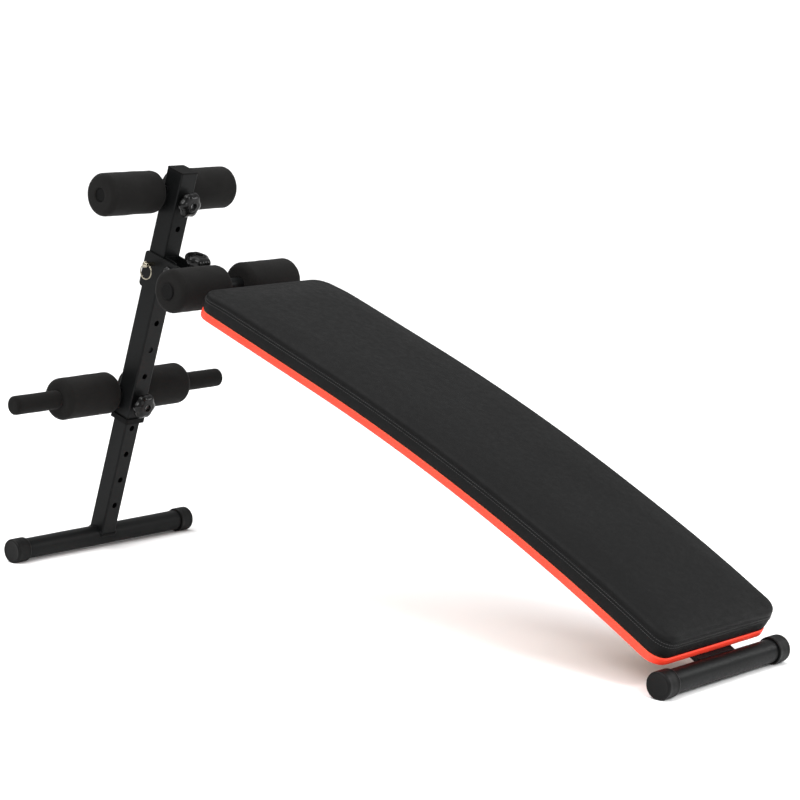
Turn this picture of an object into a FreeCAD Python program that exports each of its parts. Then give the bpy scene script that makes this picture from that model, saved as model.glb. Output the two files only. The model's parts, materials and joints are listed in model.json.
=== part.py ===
import FreeCAD, Part
import math
import os

# Decline sit up bench. X runs from the mast end to the tail end, Y across, Z up, in millimetres.
# The origin is the centre of the footprint on the floor. The bench stands at rest in its lowest
# leg-length setting, with the mast locked upright.

V = FreeCAD.Vector

# Driving dimensions
FOOT_SPAN = 1403.4            # between the centres of the front and rear foot tubes
CAP_R = 22.4                  # outside of a foot cap
CAP_FLAT = 0.6                # depth of the flat worn on a cap's underside
FOOT_R = 19.0                 # outside of a foot tube
CAP_LENGTH = 30.0
CAP_END = 4.0                 # thickness of a cap's closed end
FRONT_FOOT_HALF = 220.6       # half width over the caps
REAR_FOOT_HALF = 164.9

LEAN = 17.3                   # lean of the mast and post from vertical, towards the tail
MAST = 40.0                   # outside of the mast and of the main beam
POST = 35.0                   # outside of the tubes that slide in them
WALL = 2.0
TUBE_CORNER = 3.0
HOLE_PITCH = 53.0
HOLE_R = 5.6
POST_HOLES = 6
FIRST_HOLE = 68.0             # heights from here on are along the mast, from the front foot's centre
MAST_BOTTOM = 243.0
MAST_TOP = 728.0
POST_TOP = 392.0
LOW_CARRIAGE = 280.0
TOP_CARRIAGE = 676.0
PIVOT_HEIGHT = 550.8
PIVOT_OUT = 41.0              # pivot bolt in front of the mast's centre line
PIN_HEIGHT = 550.0

BEAM_SLOPE = 20.4             # fall of the straight part of beam and board
BEND_RADIUS = 4200.0          # of the board's underside, behind the straight part
BEND_START = 273.0            # lengths along the board's underside, from its reference point
BOARD_FRONT = -27.0
BOARD_TAIL = 1059.0
PIVOT_TO_BOARD = 226.2        # from the pivot forward to the reference point
BEAM_DROP = 6.0               # from the board's underside to the top of the beam
BOARD_HALF = 153.0
CORE = 13.0                   # thickness of the board's core and its edge band
PAD = 38.0
BAND = 3.0
CORNER_R = 33.0

ROLLER_R = 38.5
ROLLER_EDGE = 11.0            # radius of a foam roller's rounded ends
TUBE_R = 12.5                 # outside of the cross tubes that carry the rollers
TUBE_WALL = 2.0
FOAM_BORE_R = 12.58
GRIP_R = 17.6
GRIP_START, GRIP_END = 153.5, 257.0
PLUG = 4.0                    # how far a glide plug stands beyond its tube's end

BRACKET_PLATE = 3.0
BRACKET_HALF = 20.0           # half height of a carriage's bracket
BRACKET_LIP = 16.0            # how far its sides reach along the mast's sides
SLIDE_GAP = 0.25              # each side, between the mast and the plates that hug it
SHORT_OF_MAST = 0.35          # between the mast's wall and a screw or pin that would enter it
LUG_HALF, LUG_PLATE = 17.5, 3.0
LUG_FRONT = 13.0              # how far the lug's ears reach beyond the pivot bolt

SCREW_R = 5.0                 # pivot bolt, carriage bolts and knob screws
SCREW_FIT_R = 5.06            # holes that turn on them
SCREW_HOLE_R = 5.5            # holes that clear them
BOLT_R = 4.0                  # board bolts and ring pin
PIN_FIT_R = 4.08
PIN_REACH = 17.0              # from the fork's plate out to the middle of the pin's ball head
PIN_BALL_R = 6.5
RING_EYE_R = 3.2
RING_R, RING_WIRE_R = 13.6, 1.5

KNOB_R = 24.5
KNOB_HEIGHT = 25.0
KNOB_HUB = 6.0                # height of the round hub under its lobes
KNOB_HUB_R = 12.0
KNOB_LOBES = 6
KNOB_DOME_R, KNOB_DISH_R = 40.0, 26.0
FLUTE_R, FLUTE_OUT = 8.0, 4.0  # scallops between the lobes, centred outside the knob
KNOB_STUD = 20.6              # reach of a knob's screw above its seat
BUSH_R, BUSH_HEIGHT = 7.0, 19.0
SEAT_GAP = 0.6                # between the mast and a carriage's knob

PLATE_IN = MAST / 2 + SLIDE_GAP
PLATE_OUT = PLATE_IN + BRACKET_PLATE
FOOT_Z = CAP_R - CAP_FLAT
TUBE_BACK = PLATE_OUT + TUBE_R     # carriage cross tubes, behind the mast's centre line
BEAM_MID = BEAM_DROP + MAST / 2    # depth of the beam's centre line under the board

parts = {}


# Shape helpers

def box(x0, x1, y0, y1, z0, z1):
    return Part.makeBox(x1 - x0, y1 - y0, z1 - z0, V(x0, y0, z0))


def rod(radius, start, end):
    start, end = V(*start), V(*end)
    return Part.makeCylinder(radius, (end - start).Length, start, end - start)


def fuse(first, *others):
    return first.fuse(list(others)).removeSplitter()


def round_edges(shape, radius, test):
    edges = [e for e in shape.Edges if test(e)]
    return shape.makeFillet(radius, edges)


def runs_along(axis):
    def test(edge):
        if len(edge.Vertexes) != 2:
            return False
        run = edge.Vertexes[1].Point - edge.Vertexes[0].Point
        return abs(abs(run.normalize().dot(axis)) - 1) < 1e-6
    return test


def square_tube(size, z0, z1):
    """A hollow square tube along Z."""
    h, i = size / 2, size / 2 - WALL
    outer = round_edges(box(-h, h, -h, h, z0, z1), TUBE_CORNER, runs_along(V(0, 0, 1)))
    inner = round_edges(box(-i, i, -i, i, z0, z1), TUBE_CORNER - WALL, runs_along(V(0, 0, 1)))
    return outer.cut(inner)


def round_tube(radius, wall, half, x, z):
    """A hollow round tube along Y."""
    tube = rod(radius, (x, -half, z), (x, half, z))
    return tube.cut(rod(radius - wall, (x, -half - 1, z), (x, half + 1, z)))


def turned(profile, start, axis):
    """A solid of revolution: profile is a list of (radius, distance along the axis)."""
    points = [V(r, 0, z) for r, z in profile]
    face = Part.Face(Part.makePolygon(points + [points[0]]))
    solid = face.revolve(V(0, 0, 0), V(0, 0, 1), 360)
    turn = FreeCAD.Rotation(V(0, 0, 1), V(*axis))
    solid.Placement = FreeCAD.Placement(V(*start), turn)
    return solid


def keep(name, shape, place=None):
    shape = shape.copy()
    if place:
        shape.Placement = place.multiply(shape.Placement)
    parts[name] = shape


# Frames: the mast's own, with X out of its tail-facing side and Z up along it, and the beam's own,
# with X down the beam and Z out of the board. Both share Y with the whole object.

MAST_FRAME = FreeCAD.Placement(V(-FOOT_SPAN / 2, 0, FOOT_Z), FreeCAD.Rotation(V(0, 1, 0), LEAN))
beam_turn = FreeCAD.Rotation(V(0, 1, 0), BEAM_SLOPE)
pivot = MAST_FRAME.multVec(V(PIVOT_OUT, 0, PIVOT_HEIGHT))
BEAM_FRAME = FreeCAD.Placement(pivot - beam_turn.multVec(V(-PIVOT_TO_BOARD, 0, -BEAM_MID)), beam_turn)


def board_frame(length):
    """The frame on the board's underside, this far along it: X down the board, Z into the board."""
    if length <= BEND_START:
        local = FreeCAD.Placement(V(length, 0, 0), FreeCAD.Rotation())
    else:
        angle = (length - BEND_START) / BEND_RADIUS
        at = V(BEND_START + BEND_RADIUS * math.sin(angle), 0, BEND_RADIUS * (math.cos(angle) - 1))
        local = FreeCAD.Placement(at, FreeCAD.Rotation(V(0, 1, 0), math.degrees(angle)))
    return BEAM_FRAME.multiply(local)


def ribbon(start, end, low, high, half):
    """A strip that follows the board: lengths along it, heights over its underside, half width."""
    def at(length, height):
        return board_frame(length).multVec(V(0, -half, height))

    def side(a, b, height):
        if b <= BEND_START:
            return [Part.LineSegment(at(a, height), at(b, height)).toShape()]
        first = []
        if a < BEND_START:
            first = [Part.LineSegment(at(a, height), at(BEND_START, height)).toShape()]
            a = BEND_START
        return first + [Part.Arc(at(a, height), at((a + b) / 2, height), at(b, height)).toShape()]

    edges = side(start, end, low) + [Part.LineSegment(at(end, low), at(end, high)).toShape()]
    edges += side(start, end, high) + [Part.LineSegment(at(start, high), at(start, low)).toShape()]
    face = Part.Face(Part.Wire(Part.__sortEdges__(edges)))
    return face.extrude(V(0, 2 * half, 0))


def board_slab(low, high, half, inset, corner):
    """A board layer with rounded corners in plan."""
    slab = ribbon(BOARD_FRONT + inset, BOARD_TAIL - inset, low, high, half)
    ends = []
    for length in (BOARD_FRONT + inset, BOARD_TAIL - inset):
        for y in (-half, half):
            ends.append(board_frame(length).multVec(V(0, y, (low + high) / 2)))

    def at_corner(edge):
        return any((edge.CenterOfMass - p).Length < 1 for p in ends)
    return round_edges(slab, corner, at_corner)


# Small pieces used several times

def foot_tube(half, x):
    return round_tube(FOOT_R, WALL, half - CAP_END, x, FOOT_Z)


def foot_space(x):
    """What a foot tube takes out of whatever is welded to it."""
    return rod(FOOT_R, (x, -FRONT_FOOT_HALF, FOOT_Z), (x, FRONT_FOOT_HALF, FOOT_Z))


def foot_cap(half, x, side):
    """A moulded cap over the end of a foot tube, with a shallow flat to stand on."""
    inner, stop = half - CAP_LENGTH, CAP_LENGTH - CAP_END
    profile = [(FOOT_R, 0), (CAP_R - 0.8, 0), (CAP_R, 2), (CAP_R, CAP_LENGTH - 3),
               (CAP_R - 3, CAP_LENGTH), (0, CAP_LENGTH), (0, stop), (FOOT_R, stop)]
    cap = turned(profile, (x, side * inner, FOOT_Z), (0, side, 0))
    y0, y1 = sorted((side * (inner - 1), side * (half + 1)))
    return cap.cut(box(x - CAP_R, x + CAP_R, y0, y1, -5, 0))


def foam_roller(inner, outer, x, z, side):
    """A foam sleeve with rounded ends, free to turn on its tube."""
    length, edge = outer - inner, ROLLER_EDGE
    arc = [(ROLLER_R - edge * (1 - math.sin(math.radians(a))), edge * (1 - math.cos(math.radians(a))))
           for a in (0, 22.5, 45, 67.5, 90)]
    profile = [(FOAM_BORE_R, 0)] + arc + [(r, length - h) for r, h in reversed(arc)]
    profile.append((FOAM_BORE_R, length))
    return turned(profile, (x, side * inner, z), (0, side, 0))


def end_plug(radius, thick, half, x, z, side):
    """A tube plug: a head outside the tube's end and a hollow shank inside it."""
    bore, shank = TUBE_R - TUBE_WALL, 12.0
    profile = [(0, 0), (bore - 2, 0), (bore - 2, -shank), (bore, -shank), (bore, 0), (radius, 0),
               (radius, thick - 1), (radius - 1, thick), (0, thick)]
    return turned(profile, (x, side * half, z), (0, side, 0))


def square_plug(size, inside, thick, shank, z):
    """A plug for the upper end of a square tube along Z: a flat head and a hollow shank."""
    h, i = size / 2, inside / 2
    head = round_edges(box(-h, h, -h, h, 0, thick), 2.5, runs_along(V(0, 0, 1)))
    skirt = round_edges(box(-i, i, -i, i, -shank, 0), TUBE_CORNER - WALL + 0.3, runs_along(V(0, 0, 1)))
    skirt = skirt.cut(box(2 - i, i - 2, 2 - i, i - 2, -shank, 0))
    plug = fuse(head, skirt)
    plug.translate(V(0, 0, z))
    return plug


def glide_plug(end):
    """The plug on the end of an inner tube, which guides it in the outer tube."""
    return square_plug(MAST - 2 * WALL - 0.4, POST - 2 * WALL, PLUG, 16, end)


def collar():
    """A plastic mouth ring on the lower end of an outer tube along Z, which guides the inner tube."""
    outer, mouth, high = MAST / 2 + 3, POST / 2 + 0.15, 6.0
    ring = round_edges(box(-outer, outer, -outer, outer, -4, high), 4.0, runs_along(V(0, 0, 1)))
    tube = box(-MAST / 2, MAST / 2, -MAST / 2, MAST / 2, 0, high + 1)
    tube = round_edges(tube, TUBE_CORNER, runs_along(V(0, 0, 1)))
    return ring.cut(tube).cut(box(-mouth, mouth, -mouth, mouth, -5, 1))


def star_knob():
    """A six-lobed knob that stands on Z = 0, bored for its insert."""
    head = Part.makeCylinder(KNOB_R, KNOB_HEIGHT - KNOB_HUB, V(0, 0, KNOB_HUB))
    for k in range(KNOB_LOBES):
        a = 2 * math.pi * (k + 0.5) / KNOB_LOBES
        flute = V(math.cos(a), math.sin(a), 0) * (KNOB_R + FLUTE_OUT)
        head = head.cut(Part.makeCylinder(FLUTE_R, KNOB_HEIGHT, flute))
    head = head.common(Part.makeSphere(KNOB_DOME_R, V(0, 0, KNOB_HEIGHT + 0.6 - KNOB_DOME_R)))
    head = head.cut(Part.makeSphere(KNOB_DISH_R, V(0, 0, KNOB_HEIGHT - 2.6 + KNOB_DISH_R)))
    knob = fuse(head, Part.makeCylinder(KNOB_HUB_R, KNOB_HUB + 1))
    return knob.cut(Part.makeCylinder(BUSH_R, KNOB_HEIGHT + 2, V(0, 0, -1)))


def knob_insert():
    """The threaded bush moulded into a knob."""
    bush = Part.makeCylinder(BUSH_R, BUSH_HEIGHT)
    return bush.cut(Part.makeCylinder(SCREW_FIT_R, BUSH_HEIGHT + 2, V(0, 0, -1)))


def along(start, axis):
    return FreeCAD.Placement(V(*start), FreeCAD.Rotation(V(0, 0, 1), V(*axis)))


# Board and main beam

def cut_holes(shape, spots, radius, low, high):
    for length, y in spots:
        hole = Part.makeCylinder(radius, high - low, V(0, y, low))
        hole.Placement = board_frame(length).multiply(hole.Placement)
        shape = shape.cut(hole)
    return shape


def on_board(shape, length, y=0.0):
    shape = shape.copy()
    local = FreeCAD.Placement(V(0, y, 0), FreeCAD.Rotation())
    shape.Placement = board_frame(length).multiply(local).multiply(shape.Placement)
    return shape


FRONT_PLATE, MIDDLE_PLATE = 60.0, 500.0     # middles of the cross plates, along the board
PLATE_HALF_LENGTH, PLATE_HALF_WIDTH = 25.0, 60.0
REAR_PLATE_START, REAR_PLATE_END = 970.0, 1090.0
REAR_PLATE_HALF_WIDTH = 50.0
REAR_BOLTS = 1000.0
BOLT_Y = 38.0
BOLT_HEAD_R, BOLT_HEAD = 7.5, 5.0
TEE_R, TEE_FLANGE_R, TEE_FLANGE = 5.0, 9.5, 1.5
RECESS_R, RECESS = 10.0, 2.0                # in the core, over a tee nut's flange
BOLT_SPOTS = [(length, y) for length in (FRONT_PLATE, MIDDLE_PLATE, REAR_BOLTS)
              for y in (-BOLT_Y, BOLT_Y)]
BEAM_MOUTH = 30.0 - PIVOT_TO_BOARD          # lengths along the beam
KNOB_ALONG = 41.0 - PIVOT_TO_BOARD
THIGH_ALONG = 128.2 - PIVOT_TO_BOARD
BEAM_END = 1005.0
WELD_NUT_R, WELD_NUT = 9.0, 6.0
KNOB_SEAT = WELD_NUT + 0.4

core = board_slab(0, CORE, BOARD_HALF - BAND, BAND, CORNER_R - BAND)
core = cut_holes(core, BOLT_SPOTS, TEE_R, -1, CORE - RECESS)
core = cut_holes(core, BOLT_SPOTS, RECESS_R, CORE - RECESS, CORE + 1)
keep("board_core", core)
band = board_slab(0, CORE, BOARD_HALF, 0, CORNER_R)
keep("board_edge_band", band.cut(board_slab(-1, CORE + 1, BOARD_HALF - BAND, BAND, CORNER_R - BAND)))
keep("board_pad", board_slab(CORE, CORE + PAD, BOARD_HALF - 1, 1, CORNER_R - 1))

barrel = Part.makeCylinder(TEE_R, CORE - RECESS - 2, V(0, 0, 2))
tee_nut = fuse(barrel, Part.makeCylinder(TEE_FLANGE_R, TEE_FLANGE, V(0, 0, CORE - RECESS)))
tee_nut = tee_nut.cut(Part.makeCylinder(BOLT_R, CORE + 2))
bolt_head = Part.makeCylinder(BOLT_HEAD_R, BOLT_HEAD, V(0, 0, -BEAM_DROP - BOLT_HEAD))
board_bolt = fuse(bolt_head, Part.makeCylinder(BOLT_R, BEAM_DROP + 12, V(0, 0, -BEAM_DROP)))
keep("tee_nuts", Part.makeCompound([on_board(tee_nut, *spot) for spot in BOLT_SPOTS]))
keep("board_bolts", Part.makeCompound([on_board(board_bolt, *spot) for spot in BOLT_SPOTS]))

for name, middle in (("front_cross_plate", FRONT_PLATE), ("middle_cross_plate", MIDDLE_PLATE)):
    plate = ribbon(middle - PLATE_HALF_LENGTH, middle + PLATE_HALF_LENGTH, -BEAM_DROP, 0,
                   PLATE_HALF_WIDTH)
    keep(name, cut_holes(plate, BOLT_SPOTS, BOLT_R, -BEAM_DROP - 1, 1))

plate = ribbon(REAR_PLATE_START, REAR_PLATE_END, -BEAM_DROP, 0, REAR_PLATE_HALF_WIDTH)
plate = plate.cut(foot_space(FOOT_SPAN / 2))
plate = min(plate.Solids, key=lambda s: s.CenterOfMass.x)
keep("rear_foot_plate", cut_holes(plate, BOLT_SPOTS, BOLT_R, -BEAM_DROP - 1, 1))


def beam_solid(inset):
    """The main beam's outside, or its bore."""
    solid = ribbon(BEAM_MOUTH, BEAM_END, inset - BEAM_DROP - MAST, -BEAM_DROP - inset, MAST / 2 - inset)
    return round_edges(solid, TUBE_CORNER - inset, lambda e: e.Length > 2 * MAST)


beam = beam_solid(0).cut(beam_solid(WALL))
knob_spot = BEAM_FRAME.multVec(V(KNOB_ALONG, 0, -BEAM_DROP))
beam_up = BEAM_FRAME.Rotation.multVec(V(0, 0, 1))
keep("main_beam", cut_holes(beam, [(KNOB_ALONG, 0)], SCREW_HOLE_R, -BEAM_DROP - 5, 1))

# The knob's screw stops flush with the inside of the beam's wall
tip = Part.makeCylinder(SCREW_HOLE_R, WALL, V(0, 0, -WALL))
beam_stud = Part.makeCylinder(SCREW_R, KNOB_SEAT + KNOB_STUD)
keep("beam_knob_stud", fuse(beam_stud, tip), along(knob_spot, beam_up))
keep("beam_knob", star_knob(), along(knob_spot + beam_up * KNOB_SEAT, beam_up))
keep("beam_knob_insert", knob_insert(), along(knob_spot + beam_up * KNOB_SEAT, beam_up))
weld_nut = Part.makeCylinder(WELD_NUT_R, WELD_NUT).cut(Part.makeCylinder(SCREW_R, WELD_NUT))
keep("beam_weld_nut", weld_nut, along(knob_spot, beam_up))

plug = square_plug(MAST, MAST - 2 * WALL - 0.4, 3, 14, 0)
end_frame = board_frame(BEAM_END).multiply(along((0, 0, -BEAM_MID), (1, 0, 0)))
keep("beam_end_plug", plug, end_frame)

# Thigh roller, welded over the beam

thigh = BEAM_FRAME.multVec(V(THIGH_ALONG, 0, TUBE_R - BEAM_DROP))
THIGH_TUBE_HALF = 149.8
THIGH_INNER = 24.0            # from the middle to a thigh roller's inner end
THIGH_PLUG_R, THIGH_PLUG = 14.0, 3.4
keep("thigh_cross_tube", round_tube(TUBE_R, TUBE_WALL, THIGH_TUBE_HALF, thigh.x, thigh.z))
for word, side in (("left", 1), ("right", -1)):
    keep("thigh_roller_" + word, foam_roller(THIGH_INNER, THIGH_TUBE_HALF - 0.4, thigh.x, thigh.z, side))
    keep("thigh_plug_" + word, end_plug(THIGH_PLUG_R, THIGH_PLUG, THIGH_TUBE_HALF, thigh.x, thigh.z, side))

# Rear foot

keep("rear_foot_tube", foot_tube(REAR_FOOT_HALF, FOOT_SPAN / 2))
for word, side in (("left", 1), ("right", -1)):
    keep("rear_foot_cap_" + word, foot_cap(REAR_FOOT_HALF, FOOT_SPAN / 2, side))

# Fork: two plates that hug the mast, a web and the stub that slides in the beam

PLATE_BACK, PLATE_FRONT = -23.5, 69.0       # from the mast's centre line
PLATE_LOW, PLATE_HIGH = 501.0, 569.0
CORNER_FRONT, CORNER_LOW = 28.0, 526.0      # ends of the plate's slanted lower edge
outline = [V(PLATE_BACK, 0, PLATE_LOW), V(PLATE_BACK, 0, PLATE_HIGH), V(PLATE_FRONT, 0, PLATE_HIGH),
           V(PLATE_FRONT, 0, CORNER_LOW), V(CORNER_FRONT, 0, PLATE_LOW)]
fork_plate = Part.Face(Part.makePolygon(outline + outline[:1])).extrude(V(0, BRACKET_PLATE, 0))
fork_plate = round_edges(fork_plate, 7.0, lambda e: runs_along(V(0, 1, 0))(e) and e.CenterOfMass.x < 60)
fork_plate = fork_plate.cut(rod(SCREW_R, (PIVOT_OUT, -1, PIVOT_HEIGHT), (PIVOT_OUT, 9, PIVOT_HEIGHT)))
fork_plate = fork_plate.cut(rod(PIN_FIT_R, (0, -1, PIN_HEIGHT), (0, 9, PIN_HEIGHT)))
for word, y in (("left", PLATE_IN), ("right", -PLATE_OUT)):
    plate = fork_plate.copy()
    plate.translate(V(0, y, 0))
    keep("fork_plate_" + word, plate, MAST_FRAME)
web = box(PLATE_FRONT - BRACKET_PLATE, PLATE_FRONT, -PLATE_IN, PLATE_IN, CORNER_LOW + 1, PLATE_HIGH - 0.5)
keep("fork_web", web, MAST_FRAME)

# The stub's front end is cut to the slope of the web it is welded to
STUB_LENGTH, STUB_HOLES = 160.0, 3
stub_start = PLATE_FRONT - PIVOT_OUT - PIVOT_TO_BOARD
stub = square_tube(POST, -5, STUB_LENGTH)
for k in range(STUB_HOLES):
    hole_at = KNOB_ALONG - stub_start + k * HOLE_PITCH
    stub = stub.cut(rod(SCREW_HOLE_R, (-POST, 0, hole_at), (0, 0, hole_at)))
stub_frame = BEAM_FRAME.multiply(along((stub_start, 0, -BEAM_MID), (1, 0, 0)))
stub.Placement = stub_frame
fork_space = box(-MAST, PLATE_FRONT, -MAST, MAST, PLATE_LOW - MAST, PLATE_HIGH + MAST)
fork_space.Placement = MAST_FRAME
keep("fork_stub_tube", stub.cut(fork_space))
keep("fork_glide_plug", glide_plug(STUB_LENGTH), stub_frame)

# Pivot bolt and nut, through the fork plates and the mast's lug

NUT_R, NUT = 9.2, 7.5                       # over the corners, and its height
shank = rod(SCREW_R, (PIVOT_OUT, -PLATE_OUT, PIVOT_HEIGHT), (PIVOT_OUT, PLATE_OUT + NUT + 1.5, PIVOT_HEIGHT))
head = turned([(0, 0), (9, 0), (9, 2.5), (7.5, 4.5), (4, 5.6), (0, 6)],
              (PIVOT_OUT, -PLATE_OUT, PIVOT_HEIGHT), (0, -1, 0))
keep("pivot_bolt", fuse(shank, head), MAST_FRAME)
hexagon = [V(NUT_R * math.cos(k * math.pi / 3), NUT_R * math.sin(k * math.pi / 3), 0) for k in range(6)]
nut = Part.Face(Part.makePolygon(hexagon + hexagon[:1])).extrude(V(0, 0, NUT))
nut = nut.cut(Part.makeCylinder(SCREW_R, NUT))
keep("pivot_lock_nut", nut, MAST_FRAME.multiply(along((PIVOT_OUT, PLATE_OUT, PIVOT_HEIGHT), (0, 1, 0))))

# Ring pin, which stops just short of the mast's wall

pin_ball = -PLATE_OUT - PIN_REACH
pin = rod(BOLT_R, (0, -MAST / 2 - SHORT_OF_MAST, PIN_HEIGHT), (0, pin_ball, PIN_HEIGHT))
pin = fuse(pin, Part.makeSphere(PIN_BALL_R, V(0, pin_ball, PIN_HEIGHT)))
pin.Placement = MAST_FRAME
pin_at = MAST_FRAME.multVec(V(0, pin_ball, PIN_HEIGHT))
eye = V(PIN_BALL_R + 1, 0, 0)
keep("ring_pin", pin.cut(rod(RING_EYE_R, pin_at - eye, pin_at + eye)))
hang = RING_R - RING_EYE_R + RING_WIRE_R + 1
keep("pin_ring", Part.makeTorus(RING_R, RING_WIRE_R, pin_at - V(0, 0, hang), V(0, 1, 0)))

# Mast: tube, caps and the lug that the pivot bolt runs through

mast = square_tube(MAST, MAST_BOTTOM, MAST_TOP)
low_holes = [LOW_CARRIAGE + k * HOLE_PITCH for k in range(4)]
for height in low_holes + [TOP_CARRIAGE - HOLE_PITCH, TOP_CARRIAGE]:
    mast = mast.cut(rod(HOLE_R, (-MAST, 0, height), (MAST, 0, height)))
mast = mast.cut(rod(HOLE_R, (0, -MAST, PIN_HEIGHT), (0, MAST, PIN_HEIGHT)))
keep("mast_tube", mast, MAST_FRAME)
keep("mast_top_cap", square_plug(MAST, MAST - 2 * WALL, 3, 18, MAST_TOP), MAST_FRAME)
keep("mast_bottom_collar", collar(), MAST_FRAME.multiply(along((0, 0, MAST_BOTTOM), (0, 0, 1))))

lug_low, lug_high = PIVOT_HEIGHT - 20, PIVOT_HEIGHT + 20.5
lug = box(MAST / 2, MAST / 2 + LUG_PLATE, -LUG_HALF, LUG_HALF, lug_low, lug_high)
for y in (-LUG_HALF, LUG_HALF - LUG_PLATE):
    ear = box(MAST / 2, PIVOT_OUT + LUG_FRONT, y, y + LUG_PLATE, lug_low, lug_high)
    ear = round_edges(ear, 11.0, lambda e: runs_along(V(0, 1, 0))(e) and e.CenterOfMass.x > PIVOT_OUT)
    lug = fuse(lug, ear)
lug = lug.cut(rod(SCREW_FIT_R, (PIVOT_OUT, -MAST, PIVOT_HEIGHT), (PIVOT_OUT, MAST, PIVOT_HEIGHT)))
keep("pivot_lug", lug, MAST_FRAME)

# Stand: telescoping post on the front foot

post = square_tube(POST, 0, POST_TOP)
for k in range(POST_HOLES):
    height = FIRST_HOLE + k * HOLE_PITCH
    post = post.cut(rod(HOLE_R, (-POST, 0, height), (POST, 0, height)))
post.Placement = MAST_FRAME
keep("post_tube", post.cut(foot_space(-FOOT_SPAN / 2)))
keep("post_glide_plug", glide_plug(POST_TOP), MAST_FRAME)
keep("front_foot_tube", foot_tube(FRONT_FOOT_HALF, -FOOT_SPAN / 2))
for word, side in (("left", 1), ("right", -1)):
    keep("front_foot_cap_" + word, foot_cap(FRONT_FOOT_HALF, -FOOT_SPAN / 2, side))


# Roller carriages on the mast

def carriage(name, height, tube_half):
    """A U bracket behind the mast, its cross tube, the two bared ends of its bolt, and its knob."""
    edge = -PLATE_OUT + BRACKET_PLATE + BRACKET_LIP
    bracket = box(-PLATE_OUT, edge, -PLATE_OUT, PLATE_OUT, height - BRACKET_HALF, height + BRACKET_HALF)
    bracket = round_edges(bracket, 6.0,
                          lambda e: runs_along(V(0, 1, 0))(e) and e.CenterOfMass.x > edge - 1)
    bracket = bracket.cut(box(-PLATE_IN, 0, -PLATE_IN, PLATE_IN, height - MAST, height + MAST))
    back = -TUBE_BACK - TUBE_R
    bolt_line = rod(SCREW_R, (back - 1, 0, height), (0, 0, height))
    keep(name + "_bracket", bracket.cut(bolt_line), MAST_FRAME)

    axis = MAST_FRAME.multVec(V(-TUBE_BACK, 0, height))
    bolt_line.Placement = MAST_FRAME
    tube = round_tube(TUBE_R, TUBE_WALL, tube_half, axis.x, axis.z).cut(bolt_line)
    keep(name + "_cross_tube", tube)

    shank = rod(SCREW_R, (back, 0, height), (-MAST / 2 - SHORT_OF_MAST, 0, height))
    head = turned([(0, 0), (9.5, 0), (9.5, 1.5), (6, 4.2), (0, 5.2)], (back, 0, height), (-1, 0, 0))
    stud = rod(SCREW_R, (MAST / 2 + SHORT_OF_MAST, 0, height), (MAST / 2 + 20, 0, height))
    keep(name + "_bolt", Part.makeCompound([fuse(shank, head), stud]), MAST_FRAME)
    seat = along((MAST / 2 + SEAT_GAP, 0, height), (1, 0, 0))
    keep(name + "_knob", star_knob(), MAST_FRAME.multiply(seat))
    keep(name + "_knob_insert", knob_insert(), MAST_FRAME.multiply(seat))
    return axis


ROLLER_INNER = 24.0                         # from the mast's centre line to a roller's inner end
TOP_TUBE_HALF, LOW_TUBE_HALF = 149.0, 251.0
axis = carriage("top_carriage", TOP_CARRIAGE, TOP_TUBE_HALF)
for word, side in (("left", 1), ("right", -1)):
    keep("top_roller_" + word, foam_roller(ROLLER_INNER, TOP_TUBE_HALF + 6.0, axis.x, axis.z, side))
    keep("top_plug_" + word, end_plug(TUBE_R, 4.0, TOP_TUBE_HALF, axis.x, axis.z, side))

axis = carriage("low_carriage", LOW_CARRIAGE, LOW_TUBE_HALF)
for word, side in (("left", 1), ("right", -1)):
    keep("low_roller_" + word, foam_roller(ROLLER_INNER, GRIP_START - 1.0, axis.x, axis.z, side))
    reach, bare = GRIP_END - GRIP_START, LOW_TUBE_HALF - GRIP_START
    profile = [(TUBE_R, 0), (GRIP_R - 2, 0), (GRIP_R, 2), (GRIP_R, reach - 7), (GRIP_R - 2, reach - 3),
               (GRIP_R - 7, reach), (0, reach), (0, bare), (TUBE_R, bare)]
    keep("grip_" + word, turned(profile, (axis.x, side * GRIP_START, axis.z), (0, side, 0)))

os.makedirs("parts", exist_ok=True)
for name, shape in parts.items():
    shape.exportStep("parts/" + name + ".step")
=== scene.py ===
import json
import math

import bpy
import numpy as np
from mathutils import Matrix, Vector, noise


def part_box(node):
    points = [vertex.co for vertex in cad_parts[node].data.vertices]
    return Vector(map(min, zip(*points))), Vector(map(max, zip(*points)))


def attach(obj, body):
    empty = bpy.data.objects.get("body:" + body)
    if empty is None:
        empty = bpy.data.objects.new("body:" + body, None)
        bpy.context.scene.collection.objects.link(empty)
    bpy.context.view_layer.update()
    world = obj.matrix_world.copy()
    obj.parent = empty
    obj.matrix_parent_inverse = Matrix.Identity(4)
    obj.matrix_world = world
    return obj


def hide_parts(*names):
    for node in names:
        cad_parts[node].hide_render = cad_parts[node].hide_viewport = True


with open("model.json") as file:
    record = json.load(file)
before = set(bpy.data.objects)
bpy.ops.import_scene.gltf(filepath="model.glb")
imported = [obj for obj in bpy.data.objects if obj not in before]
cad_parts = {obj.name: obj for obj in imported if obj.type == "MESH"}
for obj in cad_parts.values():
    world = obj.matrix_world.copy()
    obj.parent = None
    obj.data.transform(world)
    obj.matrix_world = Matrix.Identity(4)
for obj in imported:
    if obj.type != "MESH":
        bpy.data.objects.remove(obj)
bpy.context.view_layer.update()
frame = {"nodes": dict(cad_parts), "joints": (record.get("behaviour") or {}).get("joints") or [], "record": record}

# Looks for the decline sit up bench, in metres and in the CAD's frame: X from the mast end to the
# tail end, Y across, Z up. Places come from the joints' axes and sizes from the nodes' boxes.
# Profiles are in millimetres where that is easier to read, and are scaled as they are used.

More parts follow.
